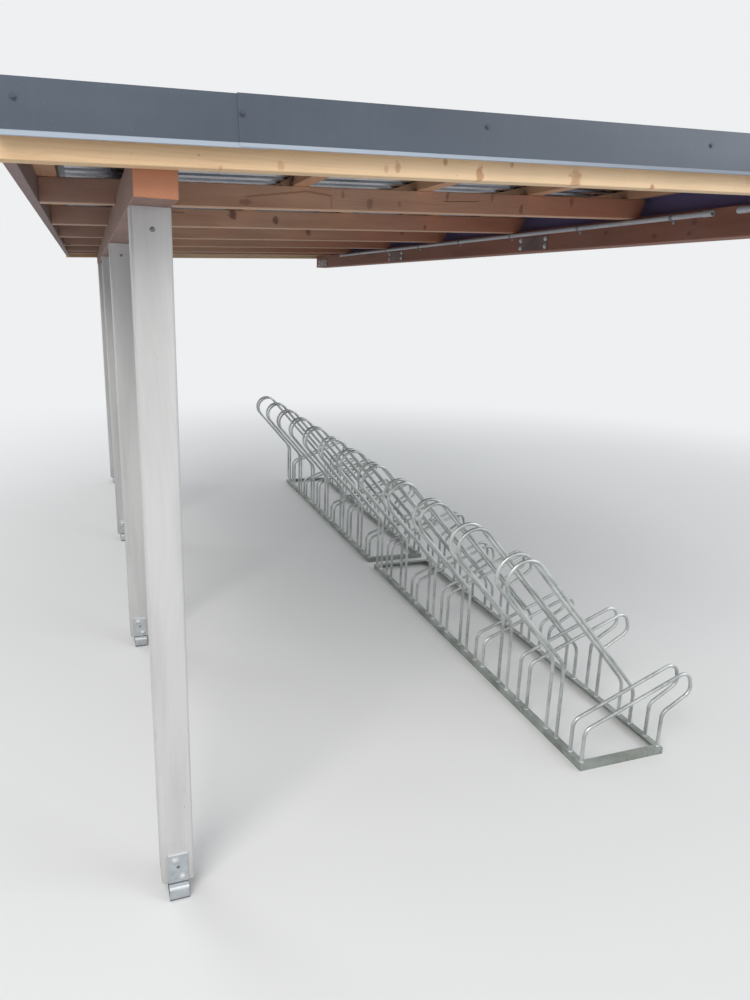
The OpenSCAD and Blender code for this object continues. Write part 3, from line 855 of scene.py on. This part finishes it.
# The third colour is a painted highlight on the drip lip.
SLATE_COAT = Coat("slate_coat", "flashing_coat", srgb(72, 80, 91), srgb(118, 124, 130), srgb(178, 188, 200),
                  lip_height=-0.0018)
CONDUIT_GREY = Plastic("conduit_grey", "conduit_plastic", srgb(190, 193, 197))
CLIP_GREY = Plastic("clip_grey", "conduit_plastic", srgb(126, 130, 136))


EASING_ANGLE = math.radians(40)
CREASE_ANGLE = math.radians(38)
WELD_GAP = 1e-5
WASHER_SIDES = 18
# Angles above its rim at which a dome head's profile has points.
DOME_ANGLES = (0.35, 0.75, 1.15)


def ease(piece: bpy.types.Object, width: float) -> None:
    """Rounds a piece's edges softly.

    Args:
        piece: The piece.
        width: Width of the rounding in metres.
    """
    bevel = piece.modifiers.new("easing", "BEVEL")
    bevel.width = width
    bevel.segments = 2
    bevel.limit_method = "ANGLE"
    bevel.angle_limit = EASING_ANGLE


def show(name: str, data: bpy.types.ID | None) -> bpy.types.Object:
    """Makes an object and puts it into the scene.

    Args:
        name: The object's name.
        data: Its mesh, light or camera.

    Returns:
        The object.
    """
    item = bpy.data.objects.new(name, data)
    bpy.context.scene.collection.objects.link(item)
    return item


def set_down(name: str, mesh: bpy.types.Mesh) -> bpy.types.Object:
    """Puts a finished mesh on the root body.

    Args:
        name: The piece's name.
        mesh: Its mesh, with the place in it.

    Returns:
        The piece.
    """
    piece = show(name, mesh)
    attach(piece, "root")
    return piece


@dataclass(frozen=True)
class Fixing:
    """A screw head, bolt head or weld bead, drawn as turned profiles of (radius, height)."""

    name: str
    head: Head
    radius: float
    height: float
    washer: float = 0.0
    washer_height: float = 0.0

    @staticmethod
    def _turn(mesh: bmesh.types.BMesh, profile: Sequence[tuple[float, float]], sides: int) -> None:
        """Turns a profile round the Z axis.

        Args:
            mesh: The mesh that it is added to.
            profile: Radius and height of each point; the first and the last lie on the axis.
            sides: The number of sides.
        """
        rings: list[list[bmesh.types.BMVert]] = []
        for radius, height in profile:
            if radius <= 0:
                rings.append([mesh.verts.new((0, 0, height))])
                continue
            rings.append([
                mesh.verts.new((radius * math.cos(2 * math.pi * i / sides),
                                radius * math.sin(2 * math.pi * i / sides), height))
                for i in range(sides)
            ])
        for lower, upper in zip(rings, rings[1:]):
            for i in range(sides):
                j = (i + 1) % sides
                corners = [lower[i % len(lower)], lower[j % len(lower)],
                           upper[j % len(upper)], upper[i % len(upper)]]
                unique = list(dict.fromkeys(corners))
                if len(unique) > 2:
                    mesh.faces.new(unique)

    def piece(self) -> bpy.types.Object:
        """Makes one fixing at the origin, pointing up.

        Returns:
            The object, which is only copied from and then removed.
        """
        mesh = bmesh.new()
        base = 0.0
        if self.washer > 0:
            base = self.washer_height
            rim = self.washer
            profile = [(0, 0), (rim, 0), (rim, base * 0.7), (rim * 0.94, base), (0, base)]
            self._turn(mesh, profile, WASHER_SIDES)
        r, top = self.radius, base + self.height
        if self.head is Head.HEX:
            profile = [(0, base), (r, base), (r, top - 0.15 * self.height), (r * 0.84, top), (0, top)]
        elif self.head is Head.DOME:
            profile = [(0, base), (r, base)]
            profile += [(r * math.cos(a), base + self.height * math.sin(a)) for a in DOME_ANGLES]
            profile += [(0, top)]
        else:
            profile = [(0, 0), (r, 0), (r * 0.97, self.height * 0.5), (r * 0.85, self.height),
                       (r * 0.6, self.height * 1.1), (0, self.height * 1.1)]
        self._turn(mesh, profile, self.head.value)
        bmesh.ops.recalc_face_normals(mesh, faces=mesh.faces)
        data = bpy.data.meshes.new(self.name + "_shape")
        mesh.to_mesh(data)
        mesh.free()
        return show(self.name + "_shape", data)


POST_SCREW = Fixing("post_screws", Head.DOME, radius=0.0065, height=0.0035)
FOOT_BOLT = Fixing("foot_bolts", Head.DOME, radius=0.0098, height=0.007, washer=0.013, washer_height=0.002)
FOOT_SCREW = Fixing("foot_screws", Head.DOME, radius=0.0048, height=0.0025)
SHEET_SCREW = Fixing("sheet_screws", Head.HEX, radius=0.0046, height=0.0045, washer=0.009,
                     washer_height=0.002)
FLASHING_SCREW = Fixing("flashing_screws", Head.HEX, radius=0.004, height=0.0038, washer=0.007,
                        washer_height=0.0014)
PLATE_BOLT = Fixing("plate_bolts", Head.HEX, radius=0.0085, height=0.006, washer=0.0125,
                    washer_height=0.002)
CLIP_SCREW = Fixing("clip_screws", Head.DOME, radius=0.0036, height=0.0022)
WELD_BEAD = Fixing("weld_beads", Head.BEAD, radius=0.012, height=0.004)


@dataclass(frozen=True)
class Row:
    """Fixings at equal steps along a straight line."""

    start: Point
    step: Point = (0.0, 0.0, 0.0)
    count: int = 1
    turn: Point = UP


class RowMaker:
    """Lays fixings in rows with one Geometry Nodes tree."""

    def __init__(self) -> None:
        """Builds the tree and looks up its inputs."""
        self.tree = self._build()
        self.inputs = {
            item.name: item.identifier
            for item in self.tree.interface.items_tree
            if item.in_out == "INPUT"
        }

    @staticmethod
    def _build() -> bpy.types.NodeTree:
        """Builds the tree: a line of points, a copy on each, turned at random about its axis.

        Returns:
            The tree.
        """
        tree = bpy.data.node_groups.new("fixings_in_a_row", "GeometryNodeTree")
        for name, kind in (("Piece", "NodeSocketObject"), ("Count", "NodeSocketInt"),
                           ("Start", "NodeSocketVector"), ("Step", "NodeSocketVector"),
                           ("Turn", "NodeSocketVector"), ("Seed", "NodeSocketInt"),
                           ("Finish", "NodeSocketMaterial")):
            tree.interface.new_socket(name, in_out="INPUT", socket_type=kind)
        tree.interface.new_socket("Geometry", in_out="OUTPUT", socket_type="NodeSocketGeometry")
        graph = Graph(tree)
        given = graph.add("NodeGroupInput").outputs
        spacing = {"Count": given["Count"], "Start Location": given["Start"], "Offset": given["Step"]}
        line = graph.add("GeometryNodeMeshLine", spacing, mode="OFFSET")
        shape = graph.add("GeometryNodeObjectInfo", {"Object": given["Piece"]})
        spin = graph.add("FunctionNodeRandomValue", {"Seed": given["Seed"]}, data_type="FLOAT")
        spin.inputs[3].default_value = 2 * math.pi
        spun = graph.join(0.0, 0.0, spin.outputs[1])
        turned = graph.add("FunctionNodeRotateRotation", {0: given["Turn"], 1: spun}, rotation_space="LOCAL")
        copies = graph.add("GeometryNodeInstanceOnPoints", {
            "Points": line.outputs[0], "Instance": shape.outputs["Geometry"], "Rotation": turned.outputs[0]})
        real = graph.add("GeometryNodeRealizeInstances", {0: copies.outputs[0]})
        finish = graph.add("GeometryNodeSetMaterial", {0: real.outputs[0], "Material": given["Finish"]})
        graph.add("NodeGroupOutput", {0: finish.outputs[0]})
        return tree

    def lay(self, fixing: Fixing, rows: Sequence[Row], finish: Finish, material: bpy.types.Material) -> None:
        """Makes one mesh that holds all of a fixing's rows.

        Args:
            fixing: What is laid.
            rows: Where it is laid.
            finish: Not used.
            material: The finish's material.
        """
        shape = fixing.piece()
        joined = bmesh.new()
        for number, row in enumerate(rows):
            holder = show("row", bpy.data.meshes.new("row"))
            modifier = holder.modifiers.new("row", "NODES")
            modifier.node_group = self.tree
            for name, value in (("Piece", shape), ("Count", row.count), ("Start", row.start),
                                ("Step", row.step), ("Turn", row.turn), ("Seed", number),
                                ("Finish", material)):
                modifier[self.inputs[name]] = value
            graph = bpy.context.evaluated_depsgraph_get()
            data = bpy.data.meshes.new_from_object(holder.evaluated_get(graph), depsgraph=graph)
            joined.from_mesh(data)
            holder.modifiers.remove(modifier)
            bpy.data.objects.remove(holder)
            bpy.data.meshes.remove(data)
        mesh = bpy.data.meshes.new(fixing.name)
        joined.to_mesh(mesh)
        joined.free()
        mesh.materials.append(material)
        mesh.shade_smooth()
        mesh.set_sharp_from_angle(angle=CREASE_ANGLE)
        bpy.data.objects.remove(shape)
        piece = set_down(fixing.name, mesh)
        log.info("%s: %d faces in %d rows", piece.name, len(mesh.polygons), len(rows))


@dataclass
class Workshop:
    """What every sub-assembly needs: the shared effects, the rows and the materials."""

    effects: Effects
    rows: RowMaker
    made: dict[str, bpy.types.Material]

    def material(self, finish: Finish) -> bpy.types.Material:
        """Gives the material of a finish, built the first time it is asked for.

        Args:
            finish: The finish.

        Returns:
            Its material.
        """
        if finish.name not in self.made:
            self.made[finish.name] = finish.build(self.effects)
        return self.made[finish.name]

    def dress(self, names: Iterable[str], finish: Finish, easing: float = 0.0) -> None:
        """Gives CAD nodes a finish and, where wanted, softly rounded edges.

        Args:
            names: The nodes.
            finish: Their finish.
            easing: Width of the rounding in metres, or 0 for none.
        """
        material = self.material(finish)
        for name in names:
            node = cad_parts[name]
            if not node.material_slots:
                node.data.materials.append(material)
            for slot in node.material_slots:
                slot.material = material
            if easing > 0:
                node.modifiers.new("weld", "WELD").merge_threshold = WELD_GAP
                ease(node, easing)
            log.info("%s: %s", name, finish.name)

    def lay(self, fixing: Fixing, rows: Sequence[Row], finish: Finish) -> None:
        """Lays a fixing's rows in a finish."""
        self.rows.lay(fixing, rows, finish, self.material(finish))


@dataclass
class TimberFrame:
    """Posts, beam, rafters, edge timbers and the boards behind the flashings."""

    shop: Workshop
    easing: float = 0.0028
    fine_easing: float = 0.002
    sawn_easing: float = 0.0015
    half_post: float = 0.05
    screw_shift: float = 0.002
    screw_drop: float = 0.172
    edge_drop: float = 0.016

    def _edge_timber(self, node: str) -> None:
        """Draws an edge timber to its measured depth, in the place of its CAD node.

        Args:
            node: The CAD node that the piece stands for.
        """
        low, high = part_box(node)
        mesh = bmesh.new()
        eave, wall = low[0], high[0]
        outline = ((eave, LAYOUT.under(eave) - self.edge_drop), (wall, LAYOUT.under(wall) - self.edge_drop),
                   (wall, LAYOUT.crown(wall)), (eave, LAYOUT.crown(eave)))
        ends = [[mesh.verts.new((x, y, z)) for x, z in outline] for y in (low[1], high[1])]
        for corners in ends:
            mesh.faces.new(corners)
        for i in range(4):
            j = (i + 1) % 4
            mesh.faces.new((ends[0][i], ends[0][j], ends[1][j], ends[1][i]))
        bmesh.ops.recalc_face_normals(mesh, faces=mesh.faces)
        data = bpy.data.meshes.new(node + "_planed")
        mesh.to_mesh(data)
        mesh.free()
        data.materials.append(self.shop.material(PALE_SPRUCE))
        piece = set_down(node + "_planed", data)
        ease(piece, self.easing)
        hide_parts(node)
        log.info("%s: drawn for %s", piece.name, node)

    def build(self) -> None:
        """Dresses the timbers and sets the screws in the posts."""
        self.shop.dress((f"post_{n + 1}" for n in range(LAYOUT.posts)), POST_PAINT, self.fine_easing)
        self.shop.dress(("beam",), BEAM_SPRUCE, self.easing)
        self.shop.dress((f"rafter_{n + 1}" for n in range(LAYOUT.rafters)), RAFTER_SPRUCE, self.easing)
        self.shop.dress(("front_board", "rear_board"), PALE_SPRUCE, self.easing)
        for node in ("front_timber", "rear_timber"):
            self._edge_timber(node)
        self.shop.dress(("eave_board",), EAVE_SPRUCE, self.fine_easing)
        self.shop.dress((f"batten_{n + 1}" for n in range(LAYOUT.battens)), BATTEN_SPRUCE, self.sawn_easing)
        self.shop.dress(("ledger",), LEDGER_SPRUCE, self.easing)
        self.shop.dress(("wall_closer",), DARK_BOARD, self.sawn_easing)
        x = LAYOUT.post_x + self.screw_shift
        rows = [
            Row((x, LAYOUT.post_y(n) - self.half_post, -self.screw_drop), turn=TO_FRONT)
            for n in range(LAYOUT.posts)
        ]
        self.shop.lay(POST_SCREW, rows, SHADED_SCREW_ZINC)


@dataclass
class PostFeet:
    """Galvanised feet with two bolts through each post and a screw in the empty middle hole."""

    shop: Workshop
    half_foot: float = 0.055
    half_post: float = 0.05
    bolts: tuple[tuple[float, float], ...] = ((-0.009, 0.137), (0.012, 0.074))
    screws: tuple[tuple[float, float], ...] = ((0.0, 0.11),)

    @staticmethod
    def _heads(places: Sequence[tuple[float, float]], reach: float) -> list[Row]:
        """Heads on the front and the back of every post's foot.

        Args:
            places: Each head's shift along X and its height above the foot's underside.
            reach: Distance from the post's middle to the surface.

        Returns:
            The heads' rows.
        """
        return [
            Row((LAYOUT.post_x + shift, LAYOUT.post_y(n) + side * reach, LAYOUT.ground + height), turn=turn)
            for n in range(LAYOUT.posts)
            for shift, height in places
            for side, turn in ((-1, TO_FRONT), (1, TO_REAR))
        ]

    def build(self) -> None:
        """Dresses the feet and sets the heads on both sides."""
        self.shop.dress((f"foot_{n + 1}" for n in range(LAYOUT.posts)), FOOT_ZINC)
        self.shop.lay(FOOT_BOLT, self._heads(self.bolts, self.half_foot), FIXING_ZINC)
        self.shop.lay(FOOT_SCREW, self._heads(self.screws, self.half_post), SHADED_SCREW_ZINC)


@dataclass
class RoofSkin:
    """Ribbed sheet, flashings and the screws that hold them."""

    shop: Workshop
    flashings: tuple[str, ...] = (
        "front_flashing_left", "front_flashing_right", "rear_flashing", "eave_flashing", "wall_flashing")
    batten_middles: tuple[float, ...] = (-2.459, -2.095, -1.601, -1.107, -0.613)
    first_valley: float = -2.869
    screw_step: float = 0.252
    screws_along: int = 23
    front_screws: tuple[Point, ...] = (
        (-2.474, -3.0645, 0.046), (-2.017, -3.066, 0.064), (-1.412, -3.066, 0.099), (-0.713, -3.066, 0.123))
    rear_face: float = 3.0645
    # Screws in the end flashings' top legs: first x, y, layers of steel, run and number.
    top_rows: tuple[tuple[float, float, int, float, int], ...] = (
        (-2.45, -2.94, 1, 0.25, 2), (-1.93, -2.94, 2, 0.45, 4), (-2.45, 2.94, 1, 0.45, 5))
    # Screws in the roof's upper and lower flashing: x, first y, step and number.
    wall_row: tuple[float, float, float, int] = (-0.11, -2.77, 0.504, 12)
    wall_layers: int = 3
    eave_row: tuple[float, float, float, int] = (-2.5215, -2.9, 0.58, 11)
    eave_height: float = 0.021

    def _sheet_rows(self) -> list[Row]:
        """Screws in the valleys over the battens.

        Returns:
            The screws' rows.
        """
        return [
            Row((x, self.first_valley, LAYOUT.sheet_valley(x)), (0.0, self.screw_step, 0.0),
                self.screws_along, OFF_ROOF)
            for x in self.batten_middles
        ]

    def _flashing_rows(self) -> list[Row]:
        """Screws in the flashings' faces and top legs.

        Returns:
            The screws' rows.
        """
        rows = [Row(place, turn=TO_FRONT) for place in self.front_screws]
        rows += [Row((x, self.rear_face, z), turn=TO_REAR) for x, _, z in self.front_screws]
        for x, y, layers, run, count in self.top_rows:
            start = (x, y, LAYOUT.flashing_top(x, layers))
            rows.append(Row(start, LAYOUT.along_roof(run), count, OFF_ROOF))
        x, first, step, count = self.wall_row
        top = LAYOUT.flashing_top(x, self.wall_layers)
        rows.append(Row((x, first, top), (0.0, step, 0.0), count, OFF_ROOF))
        x, first, step, count = self.eave_row
        rows.append(Row((x, first, self.eave_height), (0.0, step, 0.0), count, TO_EAVE))
        return rows

    def build(self) -> None:
        """Dresses the sheet and flashings and sets their screws."""
        self.shop.dress(("roof_sheet",), SHEET_ZINC)
        self.shop.dress(self.flashings, SLATE_COAT)
        self.shop.lay(SHEET_SCREW, self._sheet_rows(), FIXING_ZINC)
        self.shop.lay(FLASHING_SCREW, self._flashing_rows(), SCREW_COAT)


@dataclass
class WallSide:
    """Tie plates with bolts on the ledger, and the conduit with its clips."""

    shop: Workshop
    plate_face: float = -0.103
    plate_middles: tuple[float, ...] = (-1.19, 0.7825, 2.755)
    bolt_reach: float = 0.122
    bolt_low: float = -0.033
    bolt_step: float = 0.038
    clip_face: float = -0.102
    clip_height: float = 0.0157
    clip_rows: tuple[tuple[float, float, int], ...] = ((-2.905, 0.205, 2), (-2.249, 0.64, 7))

    def build(self) -> None:
        """Dresses the fittings and sets their bolts and screws."""
        self.shop.dress(("wall_plates",), PLATE_ZINC)
        self.shop.dress(("conduit",), CONDUIT_GREY)
        self.shop.dress(("conduit_clips",), CLIP_GREY)
        bolts = [
            Row((self.plate_face, middle + side * self.bolt_reach, self.bolt_low),
                (0.0, 0.0, self.bolt_step), 2, TO_EAVE)
            for middle in self.plate_middles
            for side in (-1, 1)
        ]
        self.shop.lay(PLATE_BOLT, bolts, FIXING_ZINC)
        screws = [
            Row((self.clip_face, first, self.clip_height), (0.0, step, 0.0), count, TO_EAVE)
            for first, step, count in self.clip_rows
        ]
        self.shop.lay(CLIP_SCREW, screws, FIXING_ZINC)


@dataclass
class BikeRack:
    """Angle rails and bent hoops, with a weld bead round every foot."""

    shop: Workshop
    rails: tuple[float, ...] = (-0.555, -0.165)
    rail_height: float = 0.03
    first: float = -2.65
    pitch: float = 0.43
    offsets: tuple[float, ...] = (0.0, 0.08, 0.185, 0.265)

    def build(self) -> None:
        """Dresses the racks and lays the weld beads."""
        self.shop.dress(("rack_rails",), RAIL_ZINC)
        self.shop.dress(("low_hoops", "middle_hoops", "high_hoops"), RACK_ZINC)
        top = LAYOUT.ground + self.rail_height
        rows = [
            Row((x, self.first + rack * LAYOUT.rack_pairs * self.pitch + offset, top),
                (0.0, self.pitch, 0.0), LAYOUT.rack_pairs)
            for x in self.rails
            for rack in range(LAYOUT.racks)
            for offset in self.offsets
        ]
        self.shop.lay(WELD_BEAD, rows, RACK_ZINC)


@dataclass(frozen=True)
class StudioLight:
    """A large soft light: its place, its power in watts and its colour."""

    name: str
    place: Point
    power: float
    colour: RGB


@dataclass
class Studio:
    """Camera, lights, pale floor and plain background."""

    place: Point = (-2.3599, -4.8628, -0.3098)
    yaw: float = 0.3654
    pitch: float = -0.2676
    roll: float = -0.0362
    lens: float = 26.888
    sensor: float = 36.0
    clip: tuple[float, float] = (0.05, 200.0)
    light_aim: Point = (-1.2, -1.0, -0.6)
    light_size: float = 5.0
    lights: tuple[StudioLight, ...] = (
        StudioLight("key", (-6.0, -8.5, 6.5), 620.0, (1.0, 0.98, 0.95)),
        StudioLight("fill", (5.0, -7.5, 3.0), 220.0, (0.94, 0.97, 1.0)),
        StudioLight("far", (-7.0, 6.5, 4.0), 240.0, (0.96, 0.98, 1.0)),
    )
    sky: RGB = (0.93, 0.96, 1.0)
    sky_strength: float = 0.72
    half_floor: float = 40.0
    haze_span: tuple[float, float] = (3.7, 9.0)
    inside_span: tuple[float, float] = (-3.0, -0.3)
    inside_share: float = 0.56
    floor_colour: RGB = (0.72, 0.72, 0.71)
    bounce: RGB = (0.6, 0.605, 0.62)
    backdrop: RGB = (0.86, 0.87, 0.88)

    def _camera(self) -> None:
        """Sets the camera up as the photograph was taken."""
        yaw, pitch = self.yaw, self.pitch
        forward = Vector((math.sin(yaw) * math.cos(pitch), math.cos(yaw) * math.cos(pitch), math.sin(pitch)))
        right = Vector((math.cos(yaw), -math.sin(yaw), 0.0))
        down = forward.cross(right)
        c, s = math.cos(self.roll), math.sin(self.roll)
        side, lower = c * right + s * down, -s * right + c * down
        turn = Matrix((side, -lower, -forward)).transposed()
        data = bpy.data.cameras.new("camera")
        data.lens = self.lens
        data.sensor_width = self.sensor
        data.clip_start, data.clip_end = self.clip
        camera = show("camera", data)
        camera.matrix_world = Matrix.Translation(self.place) @ turn.to_4x4()
        bpy.context.scene.camera = camera

    def _shine(self, light: StudioLight) -> None:
        """Sets up a light and points it at the object.

        Args:
            light: The light.
        """
        data = bpy.data.lights.new(light.name, "AREA")
        data.size = self.light_size
        data.energy = light.power
        data.color = light.colour
        item = show(light.name, data)
        item.location = light.place
        aim = Vector(self.light_aim) - Vector(light.place)
        item.rotation_euler = aim.to_track_quat("-Z", "Y").to_euler()

    @staticmethod
    def _sees(graph: Graph, path: bpy.types.Node) -> Socket:
        """Is 1 for the camera, reflections and glass, so that they show the same background."""
        direct = graph.math("MAXIMUM", path.outputs["Is Camera Ray"], path.outputs["Is Glossy Ray"])
        return graph.math("MAXIMUM", direct, path.outputs["Is Transmission Ray"])

    def _floor(self) -> None:
        """Lays the pale floor, which sends less light up than the camera sees, least under the roof."""
        data = bpy.data.meshes.new("floor")
        half, z = self.half_floor, LAYOUT.ground
        data.from_pydata([(-half, -half, z), (half, -half, z), (half, half, z), (-half, half, z)], [],
                         [(0, 1, 2, 3)])
        material = bpy.data.materials.new("floor")
        material.use_nodes = True
        material.node_tree.nodes.clear()
        graph = Graph(material.node_tree)
        seen = graph.add("ShaderNodeBsdfDiffuse", {"Color": self.floor_colour})
        place = graph.add("ShaderNodeTexCoord").outputs["Object"]
        inside = shade(self.bounce, self.inside_share)
        back = graph.mix(graph.step(graph.split(place)[1], *self.inside_span), self.bounce, inside)
        sent = graph.add("ShaderNodeBsdfDiffuse", {"Color": back})
        path = graph.add("ShaderNodeLightPath")
        distance = graph.step(graph.vector("LENGTH", place), *self.haze_span)
        haze = graph.add("ShaderNodeEmission", {"Color": self.backdrop})
        far = graph.add("ShaderNodeMixShader", {0: distance, 1: seen.outputs[0], 2: haze.outputs[0]})
        both = graph.add("ShaderNodeMixShader", {0: self._sees(graph, path), 1: sent.outputs[0],
                                                 2: far.outputs[0]})
        graph.add("ShaderNodeOutputMaterial", {"Surface": both.outputs[0]})
        data.materials.append(material)
        show("floor", data)

    def _world(self) -> None:
        """Makes the plain background and the soft light that comes from it."""
        world = bpy.data.worlds.new("studio")
        bpy.context.scene.world = world
        world.use_nodes = True
        world.node_tree.nodes.clear()
        graph = Graph(world.node_tree)
        light = graph.add("ShaderNodeBackground", {"Color": self.sky, "Strength": self.sky_strength})
        seen = graph.add("ShaderNodeBackground", {"Color": self.backdrop, "Strength": 1.0})
        path = graph.add("ShaderNodeLightPath")
        both = graph.add("ShaderNodeMixShader", {0: self._sees(graph, path), 1: light.outputs[0],
                                                 2: seen.outputs[0]})
        graph.add("ShaderNodeOutputWorld", {"Surface": both.outputs[0]})

    def build(self) -> None:
        """Sets up everything round the object."""
        bpy.context.scene.view_settings.view_transform = "Standard"
        self._camera()
        self._world()
        self._floor()
        for light in self.lights:
            self._shine(light)
        log.info("studio ready")


def main() -> None:
    """Builds the sub-assemblies in order."""
    Studio().build()
    shop = Workshop(Effects(), RowMaker(), {})
    for part in (TimberFrame(shop), PostFeet(shop), RoofSkin(shop), WallSide(shop), BikeRack(shop)):
        part.build()
        log.info("%s done", type(part).__name__)


if __name__ == "__main__":
    logging.basicConfig(level=logging.INFO, format="%(name)s: %(message)s")
    main()
